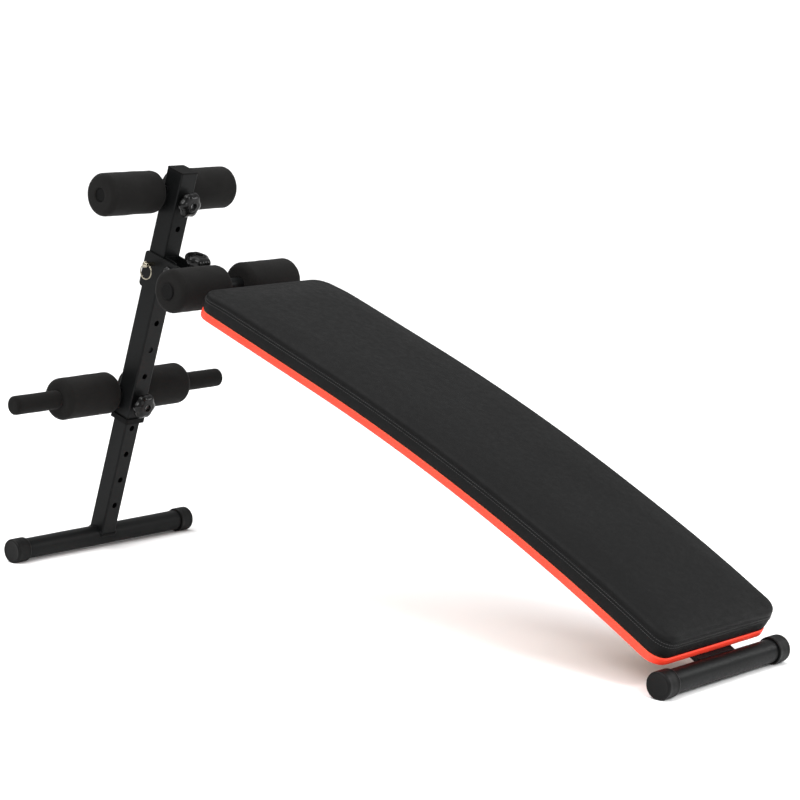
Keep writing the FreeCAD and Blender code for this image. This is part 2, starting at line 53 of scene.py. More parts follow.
MM = 0.001
JOINTS = {j["name"]: j for j in frame["joints"]}
NODES = frame["nodes"]
ACROSS = Vector((0, 1, 0))
DOWN = -Vector(JOINTS["leg_length_slide"]["axis"])           # down the straight part of the beam
BEAM_UP = DOWN.cross(ACROSS)
MAST_UP = Vector(JOINTS["top_roller_height"]["axis"])
MAST_FRONT = ACROSS.cross(MAST_UP)
PIVOT = Vector(JOINTS["mast_fold"]["pos_m"])

# The board, as in the CAD: lengths are along its underside
PIVOT_TO_BOARD, BEAM_MID = 226.2 * MM, 26 * MM
BEND_START, BEND_R = 273 * MM, 4.2
BOARD_FRONT, BOARD_TAIL = -27 * MM, 1061 * MM
BOARD_HALF, CORE = 153 * MM, 13
FRONT_CORNER, TAIL_CORNER = 33 * MM, 30 * MM
BOARD_ZERO = PIVOT + DOWN * PIVOT_TO_BOARD + BEAM_UP * BEAM_MID

POST_HALF = 17.7 * MM            # half the width of the square tubes that slide, at a weld's middle
CROSS_R = 11.6 * MM              # where a weld lies on a cross tube, from its axis
FOOT_TUBE_R = 19 * MM

scene = bpy.context.scene


# Points and meshes

def board(s, y, h):
    """A point s down the board's underside, y across and h above it."""
    a = max(0.0, s - BEND_START) / BEND_R
    base = BOARD_ZERO + DOWN * min(s, BEND_START)
    if a:
        base = base + DOWN * (BEND_R * math.sin(a)) + BEAM_UP * (BEND_R * (math.cos(a) - 1))
    return base + ACROSS * y + (DOWN * math.sin(a) + BEAM_UP * math.cos(a)) * h


def mast_point(origin, x, y, z):
    return origin + MAST_FRONT * x + ACROSS * y + MAST_UP * z


def new_object(name, verts, faces, mat, smooth=True):
    mesh = bpy.data.meshes.new(name)
    mesh.from_pydata([tuple(v) for v in verts], [], faces)
    mesh.materials.append(mat)
    if smooth:
        mesh.shade_smooth()
    ob = bpy.data.objects.new(name, mesh)
    scene.collection.objects.link(ob)
    return ob


def bridge(faces, a, b, n, closed=True):
    """Quads between the rings that start at vertices a and b, n points each."""
    for i in range(n if closed else n - 1):
        j = (i + 1) % n
        faces.append((a + i, a + j, b + j, b + i))


def loft(rings, ends="cap"):
    """Vertices and faces of a tube through rings of points: ends are cap, open or join."""
    n = len(rings[0])
    verts = [p for ring in rings for p in ring]
    faces = []
    for k in range(len(rings) - 1):
        bridge(faces, k * n, (k + 1) * n, n)
    last = (len(rings) - 1) * n
    if ends == "join":
        bridge(faces, last, 0, n)
    if ends == "cap":
        for start, flip in ((0, True), (last, False)):
            centre = sum((verts[start + i] for i in range(n)), Vector()) / n
            verts.append(centre)
            c = len(verts) - 1
            for i in range(n):
                j = (i + 1) % n
                faces.append((start + j, start + i, c) if flip else (start + i, start + j, c))
    return verts, faces


def axes_for(direction):
    """Two directions square to this one."""
    d = direction.normalized()
    side = d.cross(Vector((0, 0, 1)) if abs(d.z) < 0.9 else Vector((1, 0, 0))).normalized()
    return side, d.cross(side)


def lathe_rings(profile, origin, direction, count, shape=None):
    """Rings of a turned form. profile holds (radius, distance); shape may change a radius."""
    side, up = axes_for(direction)
    rings = []
    for k, (r, t) in enumerate(profile):
        ring = []
        for i in range(count):
            a = 2 * math.pi * i / count
            radius = shape(r, t, a, k) if shape else r
            ring.append(origin + direction * t + (side * math.cos(a) + up * math.sin(a)) * radius)
        rings.append(ring)
    return rings


def subdivide(ob, levels=1):
    mod = ob.modifiers.new("smooth", "SUBSURF")
    mod.levels = mod.render_levels = levels
    return ob


def soften(ob, width, angle=35):
    """A narrow rounded edge along the sharp edges."""
    mod = ob.modifiers.new("edges", "BEVEL")
    mod.width, mod.segments, mod.limit_method = width, 2, "ANGLE"
    mod.angle_limit = math.radians(angle)
    return ob


def tube_along(points, radius, sides=8, closed=True, ripple=0.0, pitch=2.2 * MM):
    """Rings round a path, with the ripples of a weld bead if asked."""
    pts = [Vector(p) for p in points]
    n, travelled, rings = len(pts), 0.0, []
    for i in range(n):
        before = pts[i - 1] if closed or i else pts[i]
        after = pts[(i + 1) % n] if closed or i < n - 1 else pts[i]
        d = (after - before).normalized()
        side, up = axes_for(d)
        if i:
            travelled += (pts[i] - pts[i - 1]).length
        phase = travelled / pitch * 2 * math.pi
        r = radius * (1 + ripple * math.sin(phase) + 0.1 * noise.noise(pts[i] * 160))
        if not closed and i in (0, n - 1):
            r *= 0.35
        rings.append([pts[i] + (side * math.cos(a) + up * math.sin(a)) * r
                      for a in (2 * math.pi * k / sides for k in range(sides))])
    return rings


def resample(points, step, closed=True):
    """Evenly spaced points along a path."""
    pts = [Vector(p) for p in points]
    if closed:
        pts.append(pts[0])
    lengths = [0.0]
    for a, b in zip(pts, pts[1:]):
        lengths.append(lengths[-1] + (b - a).length)
    count = max(2, round(lengths[-1] / step))
    out, k = [], 0
    for i in range(count if closed else count + 1):
        want = lengths[-1] * i / count
        while k < len(pts) - 2 and lengths[k + 1] < want:
            k += 1
        span = lengths[k + 1] - lengths[k]
        out.append(pts[k].lerp(pts[k + 1], (want - lengths[k]) / span if span else 0))
    return out


def join_parts(name, parts, mat, smooth=True):
    """One mesh object from several (vertices, faces) pairs."""
    verts, faces = [], []
    for v, f in parts:
        base = len(verts)
        verts += v
        faces += [tuple(base + i for i in face) for face in f]
    return new_object(name, verts, faces, mat, smooth)


# Materials. Each has its colour, roughness and relief from nodes, in object coordinates.

class Shader:
    def __init__(self, name, **fixed):
        self.mat = bpy.data.materials.new(name)
        self.mat.use_nodes = True
        self.tree = self.mat.node_tree
        self.bsdf = self.tree.nodes["Principled BSDF"]
        for key, value in fixed.items():
            self.bsdf.inputs[key.replace("_", " ")].default_value = value
        self.coords = self.node("ShaderNodeTexCoord").outputs["Object"]
        self.relief = None

    def node(self, kind, **settings):
        made = self.tree.nodes.new(kind)
        for key, value in settings.items():
            setattr(made, key, value)
        return made

    def link(self, a, b):
        self.tree.links.new(a, b)

    def stretched(self, scale):
        mapping = self.node("ShaderNodeMapping")
        mapping.inputs["Scale"].default_value = scale
        self.link(self.coords, mapping.inputs["Vector"])
        return mapping.outputs["Vector"]

    def noise(self, scale, detail=3, rough=0.5, where=None):
        made = self.node("ShaderNodeTexNoise")
        made.inputs["Scale"].default_value = scale
        made.inputs["Detail"].default_value = detail
        made.inputs["Roughness"].default_value = rough
        self.link(where or self.coords, made.inputs["Vector"])
        return made.outputs["Fac"]

    def cells(self, scale, feature="F1", where=None):
        made = self.node("ShaderNodeTexVoronoi", feature=feature)
        made.inputs["Scale"].default_value = scale
        self.link(where or self.coords, made.inputs["Vector"])
        return made.outputs["Distance"]

    def ramp(self, source, low, high, a, b):
        """a below low, b above high, and a straight run between them."""
        made = self.node("ShaderNodeMapRange")
        made.inputs["From Min"].default_value, made.inputs["From Max"].default_value = low, high
        made.inputs["To Min"].default_value, made.inputs["To Max"].default_value = a, b
        self.link(source, made.inputs["Value"])
        return made.outputs["Result"]

    def mix(self, amount, a, b):
        """A colour between a and b; each is a colour or a socket."""
        made = self.node("ShaderNodeMix", data_type="RGBA")
        self.link(amount, made.inputs["Factor"])
        for value, socket in ((a, made.inputs[6]), (b, made.inputs[7])):
            if isinstance(value, tuple):
                socket.default_value = (*value, 1)
            else:
                self.link(value, socket)
        return made.outputs[2]

    def colour(self, socket):
        self.link(socket, self.bsdf.inputs["Base Color"])

    def roughness(self, socket):
        self.link(socket, self.bsdf.inputs["Roughness"])

    def bump(self, height, distance, strength=1.0):
        """Adds relief of this depth in metres over what is there."""
        made = self.node("ShaderNodeBump")
        made.inputs["Distance"].default_value = distance
        made.inputs["Strength"].default_value = strength
        self.link(height, made.inputs["Height"])
        if self.relief:
            self.link(self.relief, made.inputs["Normal"])
        self.relief = made.outputs["Normal"]
        self.link(self.relief, self.bsdf.inputs["Normal"])


def grey(value, warm=0.0):
    return (value * (1 + warm), value, value * (1 - warm))


def powder_coat():
    s = Shader("powder_coat", Specular_IOR_Level=0.11)
    broad, fine = s.noise(9, 4), s.noise(620, 2)
    s.colour(s.mix(s.ramp(broad, 0.35, 0.65, 0, 1), (0.0034, 0.0037, 0.0038), (0.0048, 0.0052, 0.0054)))
    s.roughness(s.ramp(s.noise(240, 4), 0.3, 0.7, 0.36, 0.5))
    s.bump(fine, 0.12 * MM, 0.35)
    s.bump(s.noise(60, 2), 0.25 * MM, 0.15)
    return s.mat


def foam(name, tone):
    s = Shader(name, Specular_IOR_Level=0.09, Sheen_Weight=0.03, Sheen_Roughness=0.5)
    broad = s.noise(26, 3)
    pores_and_shade = s.cells(1500)
    base = s.mix(s.ramp(broad, 0.3, 0.7, 0, 1), grey(tone * 0.85, 0.05), grey(tone * 1.2, 0.05))
    # Darker in the pores' dents: painted shade in the pores, over the foam's own tone
    s.colour(s.mix(s.ramp(pores_and_shade, 0.0, 0.55, 1, 0), base, grey(tone * 0.6, 0.05)))
    s.roughness(s.ramp(pores_and_shade, 0, 0.6, 0.98, 0.82))
    s.bump(pores_and_shade, 0.35 * MM, 0.5)
    s.bump(s.noise(150, 4), 0.5 * MM, 0.25)
    return s.mat


def leatherette():
    s = Shader("leatherette", Specular_IOR_Level=0.085)
    creases = s.cells(560, "DISTANCE_TO_EDGE")
    pores = s.noise(1700, 2)
    broad = s.noise(7, 3)
    tone = s.mix(s.ramp(broad, 0.3, 0.7, 0, 1), (0.0044, 0.0045, 0.0045), (0.0060, 0.0061, 0.0061))
    # Darker along the grain's creases: painted shade in the creases, over the vinyl's own tone
    s.colour(s.mix(s.ramp(creases, 0.0, 0.12, 1, 0), tone, (0.0035, 0.0035, 0.0036)))
    s.roughness(s.ramp(s.noise(90, 4), 0.3, 0.7, 0.44, 0.56))
    s.bump(s.ramp(creases, 0, 0.2, 0, 1), 0.22 * MM, 0.5)
    s.bump(pores, 0.08 * MM, 0.4)
    s.bump(s.noise(18, 3), 1.6 * MM, 0.12)
    return s.mat


def band_vinyl():
    s = Shader("band_vinyl", Specular_IOR_Level=0.35)
    broad = s.noise(14, 3)
    grain = s.cells(700, "DISTANCE_TO_EDGE")
    s.colour(s.mix(s.ramp(broad, 0.3, 0.7, 0, 1), (0.92, 0.044, 0.018), (0.98, 0.056, 0.025)))
    s.roughness(s.ramp(s.noise(120, 3), 0.3, 0.7, 0.42, 0.55))
    s.bump(s.ramp(grain, 0, 0.2, 0, 1), 0.15 * MM, 0.4)
    s.bump(s.noise(40, 2), 0.8 * MM, 0.15)
    return s.mat


def moulded(name, tone, rough, spec=0.4):
    s = Shader(name, Specular_IOR_Level=spec)
    s.colour(s.mix(s.ramp(s.noise(30, 3), 0.3, 0.7, 0, 1), grey(tone * 0.85), grey(tone * 1.2)))
    s.roughness(s.ramp(s.noise(300, 3), 0.3, 0.7, rough - 0.05, rough + 0.07))
    s.bump(s.noise(900, 2), 0.08 * MM, 0.4)
    return s.mat


def gloss():
    s = Shader("knob_gloss", Specular_IOR_Level=0.12, Coat_Weight=0.16, Coat_Roughness=0.07)
    s.colour(s.mix(s.ramp(s.noise(40, 3), 0.3, 0.7, 0, 1), grey(0.0035), grey(0.005)))
    s.roughness(s.ramp(s.noise(160, 4), 0.3, 0.7, 0.16, 0.26))
    s.bump(s.noise(420, 2), 0.02 * MM, 0.2)
    return s.mat


def metal(name, low, high, rough, scratch=(1, 1, 40)):
    s = Shader(name, Metallic=1.0)
    s.colour(s.mix(s.ramp(s.noise(120, 4), 0.3, 0.7, 0, 1), low, high))
    lines = s.noise(260, 3, 0.6, s.stretched(scratch))
    s.roughness(s.ramp(lines, 0.3, 0.7, rough - 0.06, rough + 0.12))
    s.bump(lines, 0.03 * MM, 0.4)
    return s.mat


def plywood():
    s = Shader("plywood", Specular_IOR_Level=0.25)
    grain = s.noise(30, 5, 0.6, s.stretched((1.2, 22, 1.2)))
    figure = s.node("ShaderNodeTexWave", wave_type="BANDS", bands_direction="Y")
    figure.inputs["Scale"].default_value = 9
    figure.inputs["Distortion"].default_value = 7
    figure.inputs["Detail"].default_value = 3
    s.link(s.stretched((0.35, 1, 0.35)), figure.inputs["Vector"])
    light = s.mix(s.ramp(grain, 0.3, 0.7, 0, 1), (0.40, 0.25, 0.13), (0.58, 0.40, 0.23))
    s.colour(s.mix(s.ramp(figure.outputs["Fac"], 0.2, 0.9, 0, 0.55), light, (0.34, 0.20, 0.10)))
    s.roughness(s.ramp(grain, 0.3, 0.7, 0.62, 0.8))
    s.bump(grain, 0.25 * MM, 0.5)
    return s.mat


STEEL = powder_coat()
FOAM = foam("roller_foam", 0.0066)
GRIP = foam("grip_foam", 0.0055)
LEATHER = leatherette()
VINYL = band_vinyl()
CAP = moulded("cap_plastic", 0.0045, 0.4, 0.11)
PLUG = moulded("plug_plastic", 0.0045, 0.6, 0.06)
GLOSS = gloss()
ZINC = metal("zinc_plate", (0.36, 0.37, 0.38), (0.50, 0.50, 0.50), 0.32)
BLACK_ZINC = metal("black_zinc", (0.05, 0.05, 0.052), (0.09, 0.09, 0.09), 0.3)
NICKEL = metal("nickel_plate", (0.22, 0.20, 0.15), (0.36, 0.33, 0.26), 0.2)
PLY = plywood()
THREAD = moulded("thread", 0.045, 0.6, 0.2)

SLOT_FINISH = {"board_cover": LEATHER, "board_edge": VINYL, "board_core": PLY, "frame_steel": STEEL,
               "foot_cap": CAP, "tube_plug": PLUG, "knob": GLOSS, "zinc": ZINC, "pin_steel": NICKEL,
               "roller_foam": FOAM, "grip_foam": GRIP}
SLOT_OF = {s["node"]: s["material_slot"] for s in frame["record"]["subparts"]}
NODE_FINISH = {"pivot_bolt": BLACK_ZINC, "pivot_lock_nut": BLACK_ZINC}
for node, ob in NODES.items():
    ob.data.materials.clear()
    ob.data.materials.append(NODE_FINISH.get(node, SLOT_FINISH[SLOT_OF[node]]))


# The cushion

GRID_LONG, GRID_WIDE = 132, 36


def outline(inset):
    """Points round the board at this inset, GRID_LONG to a long side and GRID_WIDE to an end, which
    start in the middle of a rounded corner. Each is (length, across)."""
    front, tail, half = BOARD_FRONT + inset, BOARD_TAIL - inset, BOARD_HALF - inset
    a, b = max(FRONT_CORNER - inset, 4 * MM), max(TAIL_CORNER - inset, 4 * MM)
    corners = [(front + a, -half + a, 225, a), (tail - b, -half + b, 315, b),
               (tail - b, half - b, 45, b), (front + a, half - a, 135, a)]
    points = []
    for k, (x, y, mid, r) in enumerate(corners):
        nx, ny, _, nr = corners[(k + 1) % 4]
        count = GRID_LONG if k % 2 == 0 else GRID_WIDE
        turn = math.radians(mid + 45)
        out = Vector((math.cos(turn), math.sin(turn)))
        start, stop = Vector((x, y)) + out * r, Vector((nx, ny)) + out * nr
        straight, arc, last = (stop - start).length, r * math.pi / 4, nr * math.pi / 4
        for i in range(count):
            d = (straight + arc + last) * i / count
            if d < arc:
                q = math.radians(mid) + d / r
                points.append((x + r * math.cos(q), y + r * math.sin(q)))
            elif d < arc + straight:
                points.append(tuple(start.lerp(stop, (d - arc) / straight)))
            else:
                q = turn + (d - arc - straight) / nr
                points.append((nx + nr * math.cos(q), ny + nr * math.sin(q)))
    return points


def fill_grid(ring):
    """A Coons patch over a ring from outline(): rows of (length, across)."""
    low = [Vector(p) for p in ring[:GRID_LONG + 1]]
    right = [Vector(p) for p in ring[GRID_LONG:GRID_LONG + GRID_WIDE + 1]]
    top = [Vector(p) for p in ring[GRID_LONG + GRID_WIDE:2 * GRID_LONG + GRID_WIDE + 1]][::-1]
    left = [Vector(p) for p in (ring[2 * GRID_LONG + GRID_WIDE:] + ring[:1])][::-1]
    rows = []
    for j in range(GRID_WIDE + 1):
        v = j / GRID_WIDE
        row = []
        for i in range(GRID_LONG + 1):
            u = i / GRID_LONG
            p = low[i] * (1 - v) + top[i] * v + left[j] * (1 - u) + right[j] * u
            p -= (low[0] * (1 - u) * (1 - v) + low[-1] * u * (1 - v)
                  + top[0] * (1 - u) * v + top[-1] * u * v)
            row.append(p)
        rows.append(row)
    return rows


# (inset, height over the board's underside, hold) up the side, in mm; hold is how firmly the foam
# and the seams pin it
SIDE = [(10, CORE + 0.2, 1), (3.2, CORE + 0.2, 1), (2.0, CORE + 0.7, 1), (1.3, CORE + 2.2, 0.6),
        (0.7, CORE + 5, 0.2), (0.35, 23, 0.15), (0.3, 29, 0.15), (0.5, 34.5, 0.2), (1.0, 38.2, 0.6),
        (1.6, 39.7, 0.9), (2.7, 40.4, 1), (1.7, 41.2, 0.9), (1.2, 42.4, 0.5), (1.3, 44.6, 0.2),
        (2.2, 47.0, 0.2), (4.2, 49.1, 0.2), (7.4, 50.6, 0.2), (12.5, 51.5, 0.2), (20, 52.0, 0.2)]
CROWN = 1.6 * MM
PAD_TOP = SIDE[-1][1]
TAIL_RISE, TAIL_FROM, TAIL_RUN = 2.6, 0.7, 0.28          # mm; metres down the board
FRONT_DROP, FRONT_RUN = 5.5, 0.085
END_EASE = 60 * MM                                       # the crown fades over this at each end
SIM_FRAMES, SMOOTH_PASSES, MOST_MOVE = 20, 30, 5 * MM


def ease(t):
    t = min(1, max(0, t))
    return t * t * (3 - 2 * t)


def plump(s, height):
    """The foam stands a little fuller over the tail, and is pulled down at the front."""
    low = CORE + 4
    share = max(0, (height - low) / (PAD_TOP - low))
    rise = TAIL_RISE * ease((s - TAIL_FROM) / TAIL_RUN)
    drop = FRONT_DROP * (1 - ease((s - BOARD_FRONT) / FRONT_RUN))
    return (height + share * (rise - drop)) * MM


def cushion_mesh():
    ring_size = 2 * (GRID_LONG + GRID_WIDE)
    verts, hold, faces = [], [], []
    for inset, height, pin in SIDE:
        for s, y in outline(inset * MM):
            verts.append(board(s, y, plump(s, height)))
            hold.append(pin)
    for k in range(len(SIDE) - 1):
        bridge(faces, k * ring_size, (k + 1) * ring_size, ring_size)

    def lid(ring_at, inset, height, crown, pin, up):
        flat = fill_grid(outline(inset * MM))
        ring = list(range(ring_at, ring_at + ring_size))
        edge = {}
        for i in range(GRID_LONG + 1):
            edge[(0, i)] = ring[i]
            edge[(GRID_WIDE, i)] = ring[(2 * GRID_LONG + GRID_WIDE) - i]
        for j in range(GRID_WIDE + 1):
            edge[(j, GRID_LONG)] = ring[GRID_LONG + j]
            edge[(j, 0)] = ring[(ring_size - j) % ring_size]
        index = {}
        for j, row in enumerate(flat):
            for i, p in enumerate(row):
                if (j, i) in edge:
                    index[(j, i)] = edge[(j, i)]
                    continue
                across = abs(p.y) / (BOARD_HALF - inset * MM)
                end = min(p.x - BOARD_FRONT, BOARD_TAIL - p.x) / END_EASE
                rise = crown * (1 - min(1, across) ** 2.4) * min(1, max(0, end)) ** 0.6
                verts.append(board(p.x, p.y, plump(p.x, height) + rise))
                hold.append(pin)
                index[(j, i)] = len(verts) - 1
        for j in range(GRID_WIDE):
            for i in range(GRID_LONG):
                quad = (index[(j, i)], index[(j, i + 1)], index[(j + 1, i + 1)], index[(j + 1, i)])
                faces.append(quad if up else quad[::-1])

    lid(0, *SIDE[0][:2], 0, 1, False)
    lid((len(SIDE) - 1) * ring_size, *SIDE[-1][:2], CROWN, 0.12, True)
    return verts, faces, hold


def simulate_cover(ob, hold, cap):
    """Puffs the cover against its seams with cloth, and keeps what each point moved, up to cap."""
    group = ob.vertex_groups.new(name="hold")
    for weight in sorted(set(hold)):
        group.add([i for i, w in enumerate(hold) if w == weight], weight, "REPLACE")
    rest = np.array([v.co for v in ob.data.vertices])
    mod = ob.modifiers.new("cover", "CLOTH")
    cloth = mod.settings
    cloth.quality, cloth.mass = 6, 0.25
    cloth.tension_stiffness = cloth.compression_stiffness = 18
    cloth.bending_stiffness = 0.6
    cloth.vertex_group_mass, cloth.pin_stiffness = "hold", 1.0
    cloth.use_pressure, cloth.uniform_pressure_force = True, 4.0
    cloth.shrink_min = 0.002
    cloth.effector_weights.gravity = 0
    mod.collision_settings.use_collision = False
    mod.point_cache.frame_start, mod.point_cache.frame_end = 1, SIM_FRAMES
    for f in range(1, SIM_FRAMES + 1):
        scene.frame_set(f)
    shown = ob.evaluated_get(bpy.context.evaluated_depsgraph_get())
    moved = np.array([v.co for v in shown.data.vertices]) - rest
    edges = np.array([e.vertices[:] for e in ob.data.edges])
    degree = np.bincount(edges.ravel(), minlength=len(rest))[:, None]
    free = 1 - np.array(hold)[:, None]
    for _ in range(SMOOTH_PASSES):
        near = np.zeros_like(moved)
        np.add.at(near, edges[:, 0], moved[edges[:, 1]])
        np.add.at(near, edges[:, 1], moved[edges[:, 0]])
        moved += free * 0.5 * (near / degree - moved)
    size = np.linalg.norm(moved, axis=1, keepdims=True)
    moved *= np.minimum(1, cap / np.maximum(size, 1e-9))
    ob.modifiers.remove(mod)
    ob.data.vertices.foreach_set("co", (rest + moved).astype(np.float32).ravel())
    ob.data.update()
    scene.frame_set(1)


verts, faces, hold = cushion_mesh()
cushion = new_object("board_cushion", verts, faces, LEATHER)
simulate_cover(cushion, hold, MOST_MOVE)
subdivide(cushion)
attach(cushion, "bench")
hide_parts("board_pad")


def stitch_row(name, inset, height, pitch=4.4 * MM, length=3.1 * MM, radius=0.42 * MM):
    """A row of stitches round the cushion, each a short thread that dips at its ends."""
    path = resample([board(s, y, plump(s, height)) for s, y in outline(inset)], pitch)
    outer = resample([board(s, y, plump(s, height)) for s, y in outline(inset - 1 * MM)], pitch)
    parts, n = [], len(path)
    for i in range(n):
        d = (path[(i + 1) % n] - path[i - 1]).normalized()
        out = outer[i] - path[i]
        out = (out - d * out.dot(d)).normalized()
        rings = []
        for k in range(5):
            t = k / 2 - 1
            centre = path[i] + d * (t * length / 2) + out * (radius * (0.75 - 1.1 * t * t))
            r = radius * (0.55 if k in (0, 4) else 1)
            rings.append([centre + (out * math.cos(a) + d.cross(out) * math.sin(a)) * r
                          for a in (2 * math.pi * q / 6 for q in range(6))])
        parts.append(loft(rings))
    ob = join_parts(name, parts, THREAD)
    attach(ob, "bench")
    return ob


stitch_row("stitches_side", 0.45 * MM, 33.4)
stitch_row("stitches_top", 0.95 * MM, 38.0)


# The edge band and its stapled hem under the board

def edge_band():
    top = CORE - 0.1
    # (inset, height) in mm: up behind the cushion's edge, over the top, down the side, under the board
    shape = [(3.2, 1.2), (3.2, top - 1), (2.4, top - 0.2), (1.0, top), (0.2, top - 1), (-0.05, top - 3),
             (-0.1, top / 2), (-0.05, 3.2), (0.25, 1.0), (1.2, -0.2), (3.0, -0.55), (12, -0.6),
             (21.5, -0.5), (22, -0.2), (21.5, 0.05), (12, 0.05), (4.0, 0.1)]
    rings = []
    for inset, height in shape:
        ring = []
        for s, y in outline(inset * MM):
            wave = 0.12 * noise.noise(Vector((s * 22, y * 22, height * 0.1))) if inset > 5 else 0
            ring.append(board(s, y, (height + wave) * MM))
        rings.append(ring)
    verts, faces = loft(rings, "join")
    return new_object("edge_band", verts, [f[::-1] for f in faces], VINYL)


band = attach(edge_band(), "bench")
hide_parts("board_edge_band")


STAPLE_INSET, STAPLE_PITCH, STAPLE_DEPTH = 14 * MM, 42 * MM, 0.75 * MM


def staples():
    parts = []
    ring = resample([board(s, y, -STAPLE_DEPTH) for s, y in outline(STAPLE_INSET)], STAPLE_PITCH)
    n = len(ring)
    for i, p in enumerate(ring):
        d = (ring[(i + 1) % n] - ring[i - 1]).normalized()
        turn = 0.5 * noise.noise(p * 90)
        d = (d + d.cross(BEAM_UP) * turn).normalized()
        rings = []
        for t in (-5.2, -5.0, -4.2, 0, 4.2, 5.0, 5.2):
            sink = 0.8 if abs(t) > 5.1 else 0.25 if abs(t) > 4.5 else 0
            centre = p + d * (t * MM) + BEAM_UP * (sink * MM)
            across = d.cross(BEAM_UP)
            rings.append([centre + (BEAM_UP * math.cos(a) * 0.3 + across * math.sin(a) * 0.6) * MM
                          for a in (2 * math.pi * q / 8 for q in range(8))])
        parts.append(loft(rings))
    return join_parts("hem_staples", parts, ZINC)


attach(staples(), "bench")


# Foam rollers and grips

ROLLER_BORE, GRIP_BORE = 12.62 * MM, 12.56 * MM


def across_box(node):
    """A node that lies across the bench: its side, inner end, middle (x, z), radius and length."""
    lo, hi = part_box(node)
    inner, outer = sorted((abs(lo.y), abs(hi.y)))
    middle = ((lo.x + hi.x) / 2, (lo.z + hi.z) / 2)
    return 1 if lo.y > 0 else -1, inner, middle, (hi.z - lo.z) / 2, outer - inner


def foam_roller(node, body, wobble, edge=11 * MM, sides=96):
    side, inner, (x, z), r, length = across_box(node)
    bore = ROLLER_BORE
    profile = [(bore, 1.2 * MM), (bore + 0.5 * MM, 0.35 * MM), (bore + 1.6 * MM, 0)]
    profile += [(bore + 6 * MM, 0), (r - edge, 0.15 * MM)]
    for a in (12, 24, 36, 48, 60, 72, 84):
        q = math.radians(a)
        profile.append((r - edge * (1 - math.sin(q)), edge * (1 - math.cos(q))))
    count = 22
    for k in range(count + 1):
        profile.append((r, edge + (length - 2 * edge) * k / count))
    profile += [(rr, length - t) for rr, t in reversed(profile[:-count - 1])]
    profile += [(bore, length * f) for f in (0.75, 0.5, 0.25)]
    seed = Vector((wobble * 3.7, wobble * 1.3, wobble * 2.1))

    def shape(radius, t, a, k):
        if radius < bore + 2 * MM:
            return radius
        p = Vector((math.cos(a) * 1.4, math.sin(a) * 1.4, t * 26)) + seed
        soft = 0.7 * noise.noise(p) + 0.25 * noise.noise(p * 3.1)
        share = (radius - bore) / (r - bore)
        return radius + soft * MM * share

    rings = lathe_rings(profile, Vector((x, side * inner, z)), ACROSS * side, sides, shape)
    verts, faces = loft(rings, "join")
    ob = new_object(node.replace("roller", "foam"), verts, faces, FOAM)
    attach(ob, body)
    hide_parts(node)


for number, place in enumerate(("top", "low", "thigh")):
    for word in ("left", "right"):
        foam_roller(f"{place}_roller_{word}", f"{place}_foam_{word}", number * 2 + (word == "left"))


def grip(node, wobble, sides=64):
    side, start, (x, z), r, length = across_box(node)
    r -= 0.1 * MM
    edge, lip = 7 * MM, 2.2 * MM
    profile = [(GRIP_BORE, 3 * MM), (GRIP_BORE, 0.3 * MM), (r - 2.0 * MM, 0), (r - 0.7 * MM, 0.5 * MM),
               (r, lip)]
    count = 16
    for k in range(1, count + 1):
        profile.append((r, lip + (length - lip - edge) * k / count))
    for a in (70, 55, 40, 25, 12, 0):
        q = math.radians(a)
        profile.append((r - edge * (1 - math.sin(q)), length - edge * (1 - math.cos(q)) * 0.75))
    profile += [(8 * MM, length + 0.05 * MM), (3 * MM, length), (0.3 * MM, length)]
    seed = Vector((wobble * 5.1, wobble, 7))

    def shape(radius, t, a, k):
        if radius < GRIP_BORE + 0.04 * MM:
            return radius
        p = Vector((math.cos(a) * 1.2, math.sin(a) * 1.2, t * 34)) + seed
        return radius + (0.25 * noise.noise(p) - 0.15) * MM

    rings = lathe_rings(profile, Vector((x, side * start, z)), ACROSS * side, sides, shape)
    verts, faces = loft(rings)
    ob = new_object(node + "_foam", verts, faces, GRIP)
    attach(ob, "low_carriage")
    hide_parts(node)


grip("grip_left", 1)
grip("grip_right", 2)


# Star knobs: six round lobes that fall away from a flat boss with the screw's end in it

LOBES, FLUTE_DEPTH = 6, 2.6 * MM
KNOB_PROFILE = [  # radius over a lobe and height in mm, and the share of the flutes' depth there
    (7.0, 0.0, 0), (11.0, 0.0, 0), (12.0, 0.9, 0), (12.2, 3.0, 0), (12.5, 4.6, 0), (15.0, 5.6, 0.15),
    (19.6, 6.6, 0.6), (22.8, 8.6, 0.95), (24.4, 11.6, 1), (24.7, 14.8, 1), (23.9, 18.0, 1),
    (22.0, 20.8, 0.95), (19.2, 22.9, 0.8), (16.0, 24.2, 0.5), (12.9, 24.8, 0.22), (10.4, 24.9, 0.06),
    (9.6, 24.6, 0), (9.1, 25.3, 0), (7.2, 25.4, 0), (6.6, 25.1, 0), (6.3, 24.4, 0), (6.3, 20.0, 0),
    (6.3, 19.1, 0), (7.0, 19.1, 0)]


def star_knob(name, node, body, joint):
    j = JOINTS[joint]
    axis, seat = Vector(j["axis"]), Vector(j["pos_m"])

    def shape(radius, t, a, k):
        wave = (0.5 - 0.5 * math.cos(LOBES * a)) ** 1.2
        return radius - KNOB_PROFILE[k][2] * wave * FLUTE_DEPTH

    profile = [(r * MM, t * MM) for r, t, _ in KNOB_PROFILE]
    verts, faces = loft(lathe_rings(profile, seat, axis, 96, shape), "join")
    ob = subdivide(new_object(name, verts, faces, GLOSS))
    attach(ob, body)
    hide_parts(node)


for name, node, body, joint in (("top_star_knob", "top_carriage_knob", "top_knob", "top_knob_turn"),
                                ("low_star_knob", "low_carriage_knob", "low_knob", "low_knob_turn"),
                                ("beam_star_knob", "beam_knob", "leg_length_knob",
                                 "leg_length_knob_turn")):
    star_knob(name, node, body, joint)


# Foot caps, with fine ribs round the barrel and a flat on the underside

RIBS, RIB_DEPTH = 72, 0.32 * MM


